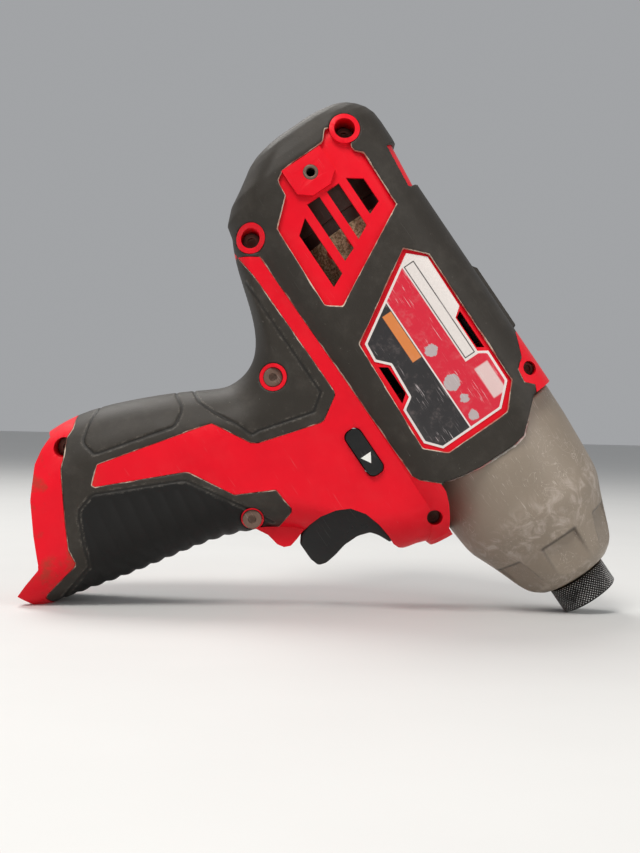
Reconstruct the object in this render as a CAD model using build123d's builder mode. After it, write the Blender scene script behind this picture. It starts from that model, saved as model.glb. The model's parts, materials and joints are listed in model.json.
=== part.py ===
"""A compact cordless hex impact driver without its battery, leaning on its foot and its collet.

Every piece is drawn in the tool's own frame: X forward along the spindle from the rear face, Y to
the left, Z up from the spindle. Three plane functions set that frame down, leaning forward, so that
the front of the battery socket and the rim of the collet sleeve touch the ground plane Z = 0.
"""
from build123d import *
from math import atan2, cos, pi, radians, sin, sqrt, tan
import os

os.makedirs("parts", exist_ok=True)

# ---- driving dimensions, in millimetres ----------------------------------------------------
SLEEVE_REAR, SLEEVE_FRONT = 156.4, 164.4
SLEEVE_RADIUS, SLEEVE_CHAMFER = 9.0, 0.6
FOOT_CONTACT, LIP_TIP = (74.4, -135.4), (68.4, -139.0)

RUBBER_THICKNESS = 1.4
LABEL_THICKNESS = 0.3
WALL = 3.0
REACH = 40.0            # more than the half width of the tool, for cuts from side to side
LOOSE = 0.3             # gap round moving pieces

CAN_RADIUS = 17.9
SHAFT_RADIUS = 1.59
SPIGOT_RADIUS, CASE_STEP_RADIUS, CASE_RADIUS = 18.7, 21.3, 24.4
RING_GEAR_RADIUS = 17.4
HAMMER_RADIUS, HAMMER_FRONT = 18.6, 124.0
CAM_SHAFT_RADIUS = 7.0
ANVIL_RADIUS, ANVIL_NECK_RADIUS, ANVIL_FRONT = 7.6, 6.2, 163.6
HEX_ACROSS_FLATS = 6.5
BUSHING_RADIUS = 10.0
CASE_FRONT = 156.0

MODULE, SUN_TEETH, PLANET_TEETH, RING_TEETH = 0.65, 12, 18, 48
CARRIER_ARM = MODULE * (SUN_TEETH + PLANET_TEETH) / 2
GEAR_REAR, GEAR_LENGTH = 91.0, 7.0
PLANET_ANGLES = [90, 210, 330]

SCREW_SHANK, HEAD_HEIGHT = 1.5, 2.2
# each housing screw: place (x, z), depth of its head seat from the middle, head, hole and boss radius
SCREWS = {
    "top_rear": (10.0, 14.3, 10.0, 2.7, 3.0, 4.4),
    "lower_rear": (20.5, -25.4, 10.0, 2.6, 2.8, 4.3),
    "top_front": (96.3, 20.5, 11.0, 2.0, 2.1, 3.4),
    "nose": (116.7, -26.3, 9.0, 2.1, 2.2, 4.7),
    "handle_top": (57.1, -42.3, 16.6, 2.7, 2.9, 4.0),
    "grip": (87.8, -70.3, 15.6, 2.7, 2.9, 3.3),
    "foot": (39.9, -103.9, 9.0, 2.7, 2.9, 3.8),
}
CLIP_INSERT = (15.1, -0.8)
INSERT_RADIUS, INSERT_BORE, INSERT_INNER = 2.2, 1.25, 18.9

SELECTOR_PLACE, SELECTOR_SIZE = (89.7, -32.6), (14.7, 4.9)
TRIGGER_TRAVEL, TRIGGER_HALF_WIDTH = 6.0, 8.4
PILOT_DEPTH = 14.0
LIGHT_PLACE = (0.0, -33.4)      # y, z of the work light under the nose
LENS_RADIUS = 2.1
GAUGE_PLACE = (81.0, -46.0)     # x, z of the charge gauge on the left side

# barrel sections: x, half width, top, bottom, corner radius
BARREL_SECTIONS = [
    (0.3, 18.6, 15.6, -8.4, 9.0),
    (1.2, 20.9, 18.8, -11.6, 10.5),
    (2.4, 22.4, 21.0, -14.2, 11.8),
    (4.2, 23.6, 23.0, -16.9, 13.0),
    (6.4, 24.4, 24.7, -20.4, 14.0),
    (9.0, 25.0, 25.8, -25.0, 15.0),
    (12.5, 25.2, 26.1, -28.7, 15.6),
    (18.0, 25.3, 26.1, -30.0, 16.0),
    (34.0, 25.2, 24.6, -30.0, 16.0),
    (116.0, 25.2, 24.6, -30.5, 16.0),
    (120.0, 24.4, 24.6, -31.5, 16.0),
    (122.4, 22.4, 24.6, -32.0, 15.0),
    (123.8, 19.4, 24.6, -31.5, 13.0),
]
REAR_ROUNDING_END, NOSE_ROUNDING_START = 20.0, 115.0
# handle sections: z, rear, front, half width, corner radius
HANDLE_SECTIONS = [
    (-22.0, 11.0, 124.4, 20.6, 12.0),
    (-30.0, 17.0, 122.6, 20.3, 12.0),
    (-33.0, 24.0, 121.6, 20.2, 12.0),
    (-37.0, 36.8, 120.6, 20.1, 13.0),
    (-42.0, 46.6, 118.4, 20.0, 14.0),
    (-48.0, 50.8, 113.0, 19.8, 14.5),
    (-55.0, 51.2, 105.0, 19.7, 15.0),
    (-64.0, 46.8, 96.6, 20.2, 15.5),
    (-76.0, 40.8, 89.6, 21.0, 16.0),
    (-90.0, 35.2, 85.4, 21.5, 16.5),
    (-104.0, 32.7, 82.6, 21.5, 16.5),
    (-120.0, 33.4, 78.9, 21.2, 15.5),
    (-147.0, 37.0, 73.0, 20.4, 14.0),
]

# ---- outlines in the side view, (x, z) -----------------------------------------------------
FRONT_EDGE = [(103, 17), (107.5, 11.7), (111.1, 7.7), (111.8, 4), (111.7, -7.4), (111, -12.2),
              (110.2, -16.2), (109.3, -19.2)]
NOSE_EDGE = [(112, -19.6), (115.5, -20.9), (119.1, -22.9), (121.5, -24.6), (140, -24.6)]
FRONT_CUT = [(103, 40)] + FRONT_EDGE + NOSE_EDGE + [(140, 40)]
CASE_REGION = [(103, 40)] + FRONT_EDGE + [(109.3, -40), (170, -40), (170, 40)]
ARCH = [(100.4, -63.5), (98.6, -57.6), (98.2, -53.4), (99.1, -48.7), (101, -44.9), (104.8, -42.1),
        (109.5, -40.7), (114.2, -40.2), (117, -40.4), (119, -39.7), (120.4, -38.3), (121, -35.9),
        (135, -35.9), (135, -63.5)]
CHIN = [(88, -58), (98.2, -57.4), (100.2, -63.3), (100.8, -65.7), (100, -67.6), (98.2, -68.8),
        (94.4, -69.5), (90, -72), (84, -72)]
FOOT_CUT = [(10, -106.2), (34.9, -106.2), (36.7, -109.8), (39.5, -113.5), (43.0, -116.1),
            (47.6, -119.8), (56.6, -124.8), (64.3, -128.4), (65.5, -129.3), (67.1, -135.1), LIP_TIP,
            (72.9, -137.4), FOOT_CONTACT, (79, -128), (95, -128), (95, -170), (10, -170)]
BODY_RUBBER = [(-10, 40), (84.6, 40), (85.6, 23.6), (92.6, 20.2), (94.6, 17.2), (98.6, 16.6),
               (101, 19), (104, 17.5), (125, 17), (125, -19.6), (109.3, -19.6), (105.3, -24),
               (103.1, -25.1), (26.4, -26.2), (22.6, -31.4), (-10, -31.4)]
GRIP_RUBBER = [(22, -31.4), (30.8, -30.4), (70.2, -29.8), (71.5, -30.3), (75.8, -37), (75.8, -38.4),
               (70.6, -56.5), (69.3, -58.3), (58.4, -64.4), (58, -65.5), (49.9, -98.1),
               (53.9, -102.6), (54.8, -102.1), (65.7, -78.2), (66.6, -77.3), (78.8, -70.5),
               (79.2, -70), (84.2, -60.1), (84.6, -59.6), (91.6, -59), (92.5, -59.6),
               (94.8, -67.2), (96.5, -69.6), (104, -76), (90, -133.4), (73.3, -133.4),
               (72.6, -132), (70.4, -120.2), (69.7, -119.5), (65.7, -118.9), (58.4, -115.2),
               (44.9, -107.6), (42.1, -104.8), (38.1, -101.7), (36.7, -99), (34, -96.9), (20, -95),
               (6, -60)]
VENT_PANEL = [(6.9, 9.5), (9.5, 7.3), (10, 6.4), (10, -2.9), (10.4, -7.4), (11.7, -9.6),
              (13.1, -10), (16.6, -10.3), (23.3, -17.6), (48.6, -18.5), (51.7, -14.5),
              (36.1, 14.5), (18.8, 14.8), (17.1, 13), (15.7, 12.8), (14, 13.5), (10, 16)]
LABEL_PANEL = [(47.8, 8.9), (53.2, 14.2), (96, 13.7), (102.8, 7.4), (103.1, -12.7), (98, -18.2),
               (63.4, -16.6)]
LABEL = [(49.9, 8.9), (53.6, 13.2), (70.1, 12.9), (72.5, 10.2), (83.6, 10.1), (85.5, 12.6),
         (95.1, 12.3), (100.3, 6.4), (100.4, -13.1), (96.5, -16.4), (85.8, -16), (83.6, -13),
         (73.4, -12.3), (69.8, -15.1), (64.5, -14.6)]
CLIP_BLOCK = [(10.2, 5.5), (18.2, 5.5), (21, 2), (21, -4), (18.2, -7.5), (10.2, -7.5)]
SIDE_VENTS = [
    [(21.8, 6.7), (24.8, 10.9), (32.6, 10.9), (34.3, 6.7)],
    [(22, 0.0), (22, 4.2), (36.3, 4.2), (38.4, 0.0)],
    [(22, -6.7), (22, -2.5), (39.7, -2.5), (41.4, -6.7)],
    [(28.1, -13.5), (24.8, -9.3), (43.9, -9.3), (45.8, -13.5)],
    [(72.6, 10.6), (71.4, 12.6), (84, 12.6), (82.7, 10.6)],
    [(71.8, -15.7), (73.4, -13.4), (82.3, -13.4), (84.3, -15.9)],
]
TOP_VENT_X, TOP_VENT_HALF_WIDTH = (20.0, 33.5), 19.0
TOP_PAD = [(61.0, 24.0), (63.5, 25.9), (84.0, 25.9), (84.8, 24.0)]
CASE_FLAT = [(142, 30), (142, 17.0), (156.5, 13.4), (156.5, 30)]
TRIGGER = [(116.5, -41.0), (113.0, -42.6), (110.9, -44.2), (109.7, -47.8), (109.7, -52.5),
           (110.6, -56.3), (111.1, -60), (110.4, -62.4), (107.6, -63.3), (102, -63.4),
           (99.6, -61.5), (98.0, -57), (97.6, -53), (98.4, -48.4), (100.4, -44.4),
           (104.3, -41.3), (109.5, -39.9), (114.5, -39.6), (116.5, -40.0)]

# ---- the tool's frame ----------------------------------------------------------------------
RIM_CONTACT = (SLEEVE_FRONT, -(SLEEVE_RADIUS - SLEEVE_CHAMFER))
LEAN = atan2(RIM_CONTACT[1] - FOOT_CONTACT[1], RIM_CONTACT[0] - FOOT_CONTACT[0])
TOOL_X, TOOL_Y, TOOL_Z = (cos(LEAN), 0, -sin(LEAN)), (0, 1, 0), (sin(LEAN), 0, cos(LEAN))
LEFTMOST = LIP_TIP[0] * cos(LEAN) + LIP_TIP[1] * sin(LEAN)
RIGHTMOST = (SLEEVE_FRONT - SLEEVE_CHAMFER) * cos(LEAN) + SLEEVE_RADIUS * sin(LEAN)
SHIFT_X = -(LEFTMOST + RIGHTMOST) / 2
SHIFT_Z = FOOT_CONTACT[0] * sin(LEAN) - FOOT_CONTACT[1] * cos(LEAN)


def tool_point(x, y, z):
    """A point of the tool's frame, where it stands leaning on the ground."""
    return (x * cos(LEAN) + z * sin(LEAN) + SHIFT_X, y, z * cos(LEAN) - x * sin(LEAN) + SHIFT_Z)


def side_plane(y=0.0):
    """The side view at y: sketch axes are x and z, and extrusion goes to the right-hand side."""
    return Plane(origin=tool_point(0, y, 0), x_dir=TOOL_X, z_dir=(0, -1, 0))


def cross_plane(x, y=0.0, z=0.0):
    """The cut across the spindle at x, about (y, z): extrusion goes forward."""
    return Plane(origin=tool_point(x, y, z), x_dir=TOOL_Y, z_dir=TOOL_X)


def level_plane(z, x=0.0):
    """The cut along the spindle at z, about x: sketch axes are x and y, and extrusion goes up."""
    return Plane(origin=tool_point(x, 0, z), x_dir=TOOL_X, z_dir=TOOL_Z)


SPINDLE = Axis(tool_point(0, 0, 0), TOOL_X)


# ---- helpers: each makes its piece and joins it to the BuildPart block that is open ----------
def turned(profile, mode=Mode.ADD):
    """A round piece about the spindle, from the (x, radius) corners of its half section."""
    with BuildPart() as piece:
        with BuildSketch(side_plane()):
            with BuildLine():
                Polyline(*profile, close=True)
            make_face()
        revolve(axis=SPINDLE)
    add(piece.part, clean=False, mode=mode)


def tube(x_from, x_to, outer, inner=0.0, mode=Mode.ADD):
    """A plain ring or disc about the spindle."""
    turned([(x_from, inner), (x_to, inner), (x_to, outer), (x_from, outer)], mode)


def across(points, half_width=REACH, grow=0.0, mode=Mode.ADD):
    """A side-view outline carried to both sides of the middle."""
    with BuildPart() as piece:
        with BuildSketch(side_plane()):
            with BuildLine():
                Polyline(*points, close=True)
            make_face()
            if grow:
                offset(amount=grow)
        extrude(amount=half_width, both=True)
    add(piece.part, clean=False, mode=mode)


def pin_across(place, radius, y_from=REACH, y_to=-REACH, mode=Mode.ADD):
    """A round pin along Y at a side-view place, from the left at y_from to the right at y_to."""
    with BuildPart() as piece:
        with BuildSketch(side_plane(y_from)):
            with Locations(place):
                Circle(radius)
        extrude(amount=y_from - y_to)
    add(piece.part, clean=False, mode=mode)


def pin_along(place, radius, x_from, x_to, mode=Mode.ADD):
    """A round pin along the spindle's direction at a (y, z) place."""
    with BuildPart() as piece:
        with BuildSketch(cross_plane(x_from)):
            with Locations(place):
                Circle(radius)
        extrude(amount=x_to - x_from)
    add(piece.part, clean=False, mode=mode)


def block(x_range, y_range, z_range, mode=Mode.ADD):
    """A box square to the tool's frame."""
    with BuildPart() as piece:
        with BuildSketch(level_plane(z_range[0])):
            with Locations(((x_range[0] + x_range[1]) / 2, (y_range[0] + y_range[1]) / 2)):
                Rectangle(x_range[1] - x_range[0], y_range[1] - y_range[0])
        extrude(amount=z_range[1] - z_range[0])
    add(piece.part, clean=False, mode=mode)


def lead(points, bend, radius):
    """A round wire through tool-frame points, with rounded corners."""
    with BuildPart() as piece:
        with BuildLine():
            route = FilletPolyline(*[tool_point(*point) for point in points], radius=bend)
        with BuildSketch(Plane(origin=route @ 0, z_dir=route % 0)):
            Circle(radius)
        sweep(path=route)
    add(piece.part)


def coil(x_from, length, coil_radius, wire_radius, turns, place=(0, 0)):
    """A helical spring along the spindle's direction."""
    with BuildPart() as piece:
        with BuildLine():
            wire = Helix(length / turns, length, coil_radius, tool_point(x_from, *place), TOOL_X)
        with BuildSketch(Plane(origin=wire @ 0, z_dir=wire % 0)):
            Circle(wire_radius)
        sweep(path=wire, is_frenet=True)
    add(piece.part)


def write(part, name):
    """Label a finished piece and write it as its own STEP file."""
    part.label = name
    export_step(part, f"parts/{name}.step")


# ---- forms of the housing: the same body at different depths below the outer skin -------------
def barrel_form(inset):
    """The barrel and nose, inset from its outer skin on every side."""
    with BuildPart() as form:
        for x, half, top, bottom, radius in BARREL_SECTIONS:
            if x < REAR_ROUNDING_END:
                x += inset
            elif x > NOSE_ROUNDING_START:
                x -= inset
            with BuildSketch(cross_plane(x)):
                with Locations((0, (top + bottom) / 2)):
                    RectangleRounded(2 * (half - inset), top - bottom - 2 * inset, radius - inset)
        loft(ruled=True)
    return form.part


def handle_form(inset):
    """The handle, inset from its outer skin on every side."""
    with BuildPart() as form:
        for z, rear, front, half, radius in HANDLE_SECTIONS:
            with BuildSketch(level_plane(z)):
                with Locations(((rear + front) / 2, 0)):
                    RectangleRounded(front - rear - 2 * inset, 2 * (half - inset), radius - inset)
        loft()
    return form.part


def shell_form(inset):
    """Barrel and handle together, with the finger arch and the gear case's place cut away."""
    barrel = barrel_form(inset)
    handle = handle_form(inset)
    with BuildPart() as form:
        add(barrel)
        add(handle)
        across(ARCH, grow=inset, mode=Mode.SUBTRACT)
        across(FRONT_CUT, mode=Mode.SUBTRACT)
    return form.part


skin = shell_form(0)
under_rubber = shell_form(RUBBER_THICKNESS)
cavity = shell_form(WALL)
under_label = barrel_form(RUBBER_THICKNESS)
label_face = barrel_form(RUBBER_THICKNESS - LABEL_THICKNESS)


# the layer of the skin that the rubber fills, between its outer and its inner face
with BuildPart() as rubber_layer:
    add(skin)
    add(under_rubber, mode=Mode.SUBTRACT)
    across(FOOT_CUT, mode=Mode.SUBTRACT)


def screw_bosses(names, mode=Mode.ADD):
    """The round bosses of the named screws, from side to side."""
    for name in names:
        x, z, _, _, _, radius = SCREWS[name]
        pin_across((x, z), radius, mode=mode)


with BuildPart() as body_layer:
    add(rubber_layer.part)
    across(BODY_RUBBER, mode=Mode.INTERSECT)
    screw_bosses(["top_rear", "lower_rear", "top_front"], mode=Mode.SUBTRACT)
    across(CLIP_BLOCK, mode=Mode.SUBTRACT)

with BuildPart() as grip_layer:
    add(rubber_layer.part)
    across(GRIP_RUBBER, mode=Mode.INTERSECT)
    screw_bosses(["handle_top", "grip"], mode=Mode.SUBTRACT)

# ---- the housing, as one shell before it is parted down the middle -------------------------
RIB_THICKNESS, RIB_FOOT = 2.0, -20.0
RIB_RADII = {16.0: CAN_RADIUS - 2.5, 36.0: CAN_RADIUS, 62.0: CAN_RADIUS, 86.2: SPIGOT_RADIUS}

with BuildPart() as hollow:
    add(cavity)
    for x in RIB_RADII:
        block((x, x + RIB_THICKNESS), (-REACH, REACH), (RIB_FOOT, REACH), Mode.SUBTRACT)
    screw_bosses(SCREWS, Mode.SUBTRACT)
    across(CLIP_BLOCK, mode=Mode.SUBTRACT)
    across(CLIP_BLOCK, half_width=INSERT_INNER - 0.5)
    tube(14.5, 34, CAN_RADIUS + LOOSE)
    for x, radius in RIB_RADII.items():
        tube(x - 0.5, x + RIB_THICKNESS + 0.5, radius)

with BuildPart() as shell:
    add(skin)
    across(CHIN, half_width=11.0)
    across(FOOT_CUT, mode=Mode.SUBTRACT)
    add(body_layer.part, mode=Mode.SUBTRACT)
    add(grip_layer.part, mode=Mode.SUBTRACT)
    add(hollow.part, mode=Mode.SUBTRACT)
    # room for the gear case, inside and under the nose
    turned([(88.0, 0), (88.0, SPIGOT_RADIUS + 0.1), (98.5, SPIGOT_RADIUS + 0.1),
            (98.5, CASE_STEP_RADIUS + 0.1), (115.0, CASE_STEP_RADIUS + 0.1), (115.0, 0)],
           Mode.SUBTRACT)
    with BuildSketch(cross_plane(109.2)):
        with BuildLine():
            nose_arc = CenterArc((0, 0), CASE_RADIUS + 0.15, 230, 80)
            Line(nose_arc @ 0, nose_arc @ 1)
        make_face()
    extrude(amount=12, mode=Mode.SUBTRACT)
    for vent in SIDE_VENTS:
        across(vent, mode=Mode.SUBTRACT)
    for y in (-7, 0, 7):
        block((22, 31.5), (y - 1.4, y + 1.4), (15, REACH), Mode.SUBTRACT)
    # trigger pocket with the trigger's whole travel, selector slot, work light bore
    across(TRIGGER, TRIGGER_HALF_WIDTH + LOOSE, 0.4, Mode.SUBTRACT)
    pressed = [(x - TRIGGER_TRAVEL, z) for x, z in TRIGGER]
    across(pressed, TRIGGER_HALF_WIDTH + LOOSE, 0.4, Mode.SUBTRACT)
    block((91.2, 104), (-TRIGGER_HALF_WIDTH - LOOSE, TRIGGER_HALF_WIDTH + LOOSE), (-63.6, -42.5),
          Mode.SUBTRACT)
    with BuildSketch(side_plane()):
        with Locations(SELECTOR_PLACE):
            RectangleRounded(SELECTOR_SIZE[0] + 0.6, SELECTOR_SIZE[1] + 0.6, 2.2)
    extrude(amount=REACH, both=True, mode=Mode.SUBTRACT)
    pin_along(LIGHT_PLACE, LENS_RADIUS, 116, 130, Mode.SUBTRACT)
    pin_across(CLIP_INSERT, INSERT_RADIUS, mode=Mode.SUBTRACT)


def half_housing(side):
    """One half of the housing: side is -1 on the right, where the screw heads are, or 1."""
    with BuildPart() as half:
        add(shell.part)
        split(bisect_by=Plane.XZ, keep=Keep.TOP if side < 0 else Keep.BOTTOM)
        for x, z, seat, _, hole, _ in SCREWS.values():
            if side < 0:
                pin_across((x, z), SCREW_SHANK + 0.1, 1, -seat - 1, Mode.SUBTRACT)
                pin_across((x, z), hole, -seat, -REACH, Mode.SUBTRACT)
            else:
                pin_across((x, z), SCREW_SHANK, PILOT_DEPTH, -1, Mode.SUBTRACT)
        if side > 0:
            block((GAUGE_PLACE[0] - 5, GAUGE_PLACE[0] + 5), (10, REACH),
                  (GAUGE_PLACE[1] - 1.8, GAUGE_PLACE[1] + 1.8), Mode.SUBTRACT)
    return half.part


right_housing = half_housing(-1)
write(right_housing, "right_housing")
left_housing = half_housing(1)
write(left_housing, "left_housing")

# ---- rubber overmolds, labels --------------------------------------------------------------
with BuildPart() as body_rubber:
    add(body_layer.part)
    across(VENT_PANEL, mode=Mode.SUBTRACT)
    across(LABEL_PANEL, mode=Mode.SUBTRACT)
    block(TOP_VENT_X, (-TOP_VENT_HALF_WIDTH, TOP_VENT_HALF_WIDTH), (10, REACH), Mode.SUBTRACT)
    across(TOP_PAD, half_width=8.5)

for side, side_name in ((-1, "right"), (1, "left")):
    keep = Keep.TOP if side < 0 else Keep.BOTTOM
    with BuildPart() as body_overmold:
        add(body_rubber.part)
        split(bisect_by=Plane.XZ, keep=keep)
    write(body_overmold.part, f"body_overmold_{side_name}")
    with BuildPart() as grip_overmold:
        add(grip_layer.part)
        split(bisect_by=Plane.XZ, keep=keep)
    write(grip_overmold.part, f"grip_overmold_{side_name}")
    with BuildPart() as label:
        add(label_face)
        add(under_label, mode=Mode.SUBTRACT)
        across(LABEL, mode=Mode.INTERSECT)
        split(bisect_by=Plane.XZ, keep=keep)
    write(label.part, f"rating_label_{side_name}")

# ---- screws and inserts --------------------------------------------------------------------
with BuildPart() as housing_screws:
    for x, z, seat, head, _, _ in SCREWS.values():
        pin_across((x, z), SCREW_SHANK, PILOT_DEPTH - 1, -seat)
        pin_across((x, z), head, -seat, -seat - HEAD_HEIGHT)
        pin_across((x, z), 1.2, -seat - HEAD_HEIGHT + 1.3, -seat - HEAD_HEIGHT - 1, Mode.SUBTRACT)
write(housing_screws.part, "housing_screws")

with BuildPart() as belt_clip_inserts:
    for y_out, y_in in ((25.2, INSERT_INNER), (-INSERT_INNER, -25.2)):
        pin_across(CLIP_INSERT, INSERT_RADIUS, y_out, y_in)
        pin_across(CLIP_INSERT, INSERT_BORE, y_out, y_in, Mode.SUBTRACT)
write(belt_clip_inserts.part, "belt_clip_inserts")

# ---- gear case and what carries the anvil ----------------------------------------------------
def wrench_flat(angle):
    """The material taken off the nose of the gear case for one of its six flats."""
    with BuildPart() as flat:
        across(CASE_FLAT, half_width=5.6)
    return flat.part.rotate(SPINDLE, angle)


with BuildPart() as gear_case:
    turned([(95, 0), (104, 24.4), (114.2, 24.2), (123.7, 23.6), (130.3, 23.1), (133.5, 22.7),
            (136.5, 21.5), (139.5, 20.1), (147.3, 17.1), (150.1, 16.1), (152, 15.2), (153.9, 13.6),
            (155.4, 11.6), (CASE_FRONT, 10.05), (CASE_FRONT, 0)])
    across(CASE_REGION, mode=Mode.INTERSECT)
    tube(88.2, 100.3, SPIGOT_RADIUS)
    tube(98.6, 113, CASE_STEP_RADIUS)
    turned([(88, 0), (88, RING_GEAR_RADIUS + 0.02), (100.2, RING_GEAR_RADIUS + 0.02),
            (100.2, 19.4), (134, 19.4), (134, BUSHING_RADIUS + 0.02), (157, BUSHING_RADIUS + 0.02),
            (157, 0)], Mode.SUBTRACT)
    for angle in range(30, 390, 60):
        add(wrench_flat(angle), mode=Mode.SUBTRACT)
write(gear_case.part, "gear_case")

with BuildPart() as gear_case_cover:
    tube(84.8, 88.1, SPIGOT_RADIUS - 0.1, 9.02)
write(gear_case_cover.part, "gear_case_cover")

with BuildPart() as nose_bushing:
    tube(136, CASE_FRONT - 0.1, BUSHING_RADIUS, ANVIL_RADIUS + 0.05)
write(nose_bushing.part, "nose_bushing")

with BuildPart() as thrust_washer:
    tube(132.6, 133.9, 15.5, ANVIL_RADIUS + LOOSE)
write(thrust_washer.part, "thrust_washer")

with BuildPart() as carrier_bearing:
    tube(84.9, 88.1, 9.0, 6.2)
write(carrier_bearing.part, "carrier_bearing")


# ---- planetary gears -----------------------------------------------------------------------
def gear_points(teeth, first_angle, tip, root, thickness):
    """Corners of an involute gear's outline: tip and root are radii, thickness is at the pitch."""
    pitch = MODULE * teeth / 2
    base = pitch * cos(radians(20))

    def half_angle(radius):
        if radius <= base:
            return half_angle(base + 1e-6)
        press = atan2(sqrt(radius**2 - base**2), base)
        at_pitch = tan(radians(20)) - radians(20)
        return thickness / (2 * pitch) + at_pitch - (tan(press) - press)

    start = max(root, base)
    flank = [start + (tip - start) * step / 3 for step in range(4)]
    points = []
    for tooth in range(teeth):
        middle = radians(first_angle) + 2 * pi * tooth / teeth
        left = [(radius, middle - half_angle(radius)) for radius in flank]
        right = [(radius, middle + half_angle(radius)) for radius in reversed(flank)]
        ends = [(root, left[0][1])] if root < start - 1e-3 else []
        starts = [(root, right[-1][1])] if root < start - 1e-3 else []
        for radius, angle in ends + left + right + starts:
            points.append((radius * cos(angle), radius * sin(angle)))
    return points


def gear(teeth, first_angle, tip, root, thickness, place, x_from, length, bore=0.0):
    """A spur gear along the spindle's direction, or the hole of a ring gear."""
    with BuildPart() as wheel:
        with BuildSketch(cross_plane(x_from, *place)):
            with BuildLine():
                Polyline(*gear_points(teeth, first_angle, tip, root, thickness), close=True)
            make_face()
            if bore:
                Circle(bore, mode=Mode.SUBTRACT)
        extrude(amount=length)
    return wheel.part


TOOTH = pi * MODULE / 2
BACKLASH = 0.16


def outer_gear(teeth, first_angle, place, x_from, length, bore):
    """A pinion or planet gear with its bore."""
    pitch = MODULE * teeth / 2
    return gear(teeth, first_angle, pitch + 0.8 * MODULE, pitch - 1.1 * MODULE, TOOTH - BACKLASH,
                place, x_from, length, bore)


ring_pitch = MODULE * RING_TEETH / 2
ring_hole = gear(RING_TEETH, 0, ring_pitch + 1.1 * MODULE, ring_pitch - 0.8 * MODULE,
                 TOOTH + BACKLASH, (0, 0), 88, 14)
with BuildPart() as ring_gear:
    tube(89.0, 100.1, RING_GEAR_RADIUS)
    add(ring_hole, mode=Mode.SUBTRACT)
write(ring_gear.part, "ring_gear")

pinion_gear = outer_gear(SUN_TEETH, 15, (0, 0), 88.6, 9.6, SHAFT_RADIUS)
write(pinion_gear, "pinion_gear")

planet_places = [(CARRIER_ARM * cos(radians(a)), CARRIER_ARM * sin(radians(a))) for a in PLANET_ANGLES]
for number, (angle, place) in enumerate(zip(PLANET_ANGLES, planet_places), start=1):
    planet_gear = outer_gear(PLANET_TEETH, angle, place, GEAR_REAR + 0.3, GEAR_LENGTH - 0.6, 1.56)
    write(planet_gear, f"planet_gear_{number}")

with BuildPart() as planet_pins:
    for place in planet_places:
        pin_along(place, 1.5, 89.4, 100.8)
write(planet_pins.part, "planet_pins")

BALL_RADIUS, BALL_X = 1.7, 120.0
with BuildPart() as planet_carrier:
    tube(85.0, 89.0, 6.15, 5.0)
    tube(89.0, 91.0, 12.6, 5.0)
    tube(98.0, 101.4, 13.2)
    tube(101.0, 123.6, CAM_SHAFT_RADIUS)
    tube(123.0, 131.0, 3.3)
    for angle in PLANET_ANGLES:
        web = (9.6 * cos(radians(angle + 60)), 9.6 * sin(radians(angle + 60)))
        pin_along(web, 1.9, 90.5, 98.5)
    for place in planet_places:
        pin_along(place, 1.5, 88, 102, Mode.SUBTRACT)
    tube(90, 98.6, 5.0, mode=Mode.SUBTRACT)
    for z in (-7.3, 7.3):
        pin_along((0, z), BALL_RADIUS + LOOSE, 111, 123.61, Mode.SUBTRACT)
write(planet_carrier.part, "planet_carrier")

# ---- hammer ----------------------------------------------------------------------------------
with BuildPart() as hammer:
    turned([(107.3, 14.6), (118, 14.6), (118, 7.3), (HAMMER_FRONT, 7.3),
            (HAMMER_FRONT, HAMMER_RADIUS), (107.3, HAMMER_RADIUS)])
    for middle in (90, 270):
        with BuildSketch(cross_plane(HAMMER_FRONT)):
            with BuildLine():
                low_arc = CenterArc((0, 0), 9.2, middle - 25, 50)
                high_arc = CenterArc((0, 0), 16.5, middle - 25, 50)
                Line(low_arc @ 0, high_arc @ 0)
                Line(low_arc @ 1, high_arc @ 1)
            make_face()
        extrude(amount=4.8)
    for z in (-7.3, 7.3):
        pin_along((0, z), BALL_RADIUS + 0.02, BALL_X - BALL_RADIUS, 121.8, Mode.SUBTRACT)
write(hammer.part, "hammer")


def balls(places, radius):
    """Loose balls at tool-frame points."""
    with BuildPart() as group:
        for place in places:
            with Locations(tool_point(*place)):
                Sphere(radius)
    return group.part


cam_balls = balls([(BALL_X, 0, -7.3), (BALL_X, 0, 7.3)], BALL_RADIUS)
write(cam_balls, "cam_balls")

with BuildPart() as hammer_spring:
    coil(111.6, 5.2, 11.8, 1.0, 2)
write(hammer_spring.part, "hammer_spring")

with BuildPart() as spring_washer:
    tube(101.6, 103.0, 13.6, CAM_SHAFT_RADIUS)
write(spring_washer.part, "spring_washer")

# ---- anvil with its hex socket, and the collet -------------------------------------------------
RING_GROOVE, DETENT_X = SLEEVE_REAR + 6.2, SLEEVE_REAR + 1.2
DETENT_RADIUS, DETENT_OFFSET = 1.45, 4.7

with BuildPart() as anvil:
    tube(124.9, 129.4, 8.3)
    for middle in (0, 180):
        with BuildSketch(cross_plane(124.9)):
            with BuildLine():
                ear_low = CenterArc((0, 0), 8.0, middle - 20, 40)
                ear_high = CenterArc((0, 0), 16.5, middle - 20, 40)
                Line(ear_low @ 0, ear_high @ 0)
                Line(ear_low @ 1, ear_high @ 1)
            make_face()
        extrude(amount=4.5)
    tube(129, SLEEVE_REAR - 0.6, ANVIL_RADIUS)
    tube(SLEEVE_REAR - 0.7, ANVIL_FRONT, ANVIL_NECK_RADIUS)
    tube(124, 132, 3.6, mode=Mode.SUBTRACT)
    with BuildSketch(cross_plane(137)):
        RegularPolygon(HEX_ACROSS_FLATS / 2, 6, major_radius=False)
    extrude(amount=30, mode=Mode.SUBTRACT)
    tube(RING_GROOVE, RING_GROOVE + 0.6, 8.0, 5.7, Mode.SUBTRACT)
    with BuildSketch(level_plane(-10, DETENT_X)):
        Circle(DETENT_RADIUS + 0.05)
    extrude(amount=20, mode=Mode.SUBTRACT)
write(anvil.part, "anvil")

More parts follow.
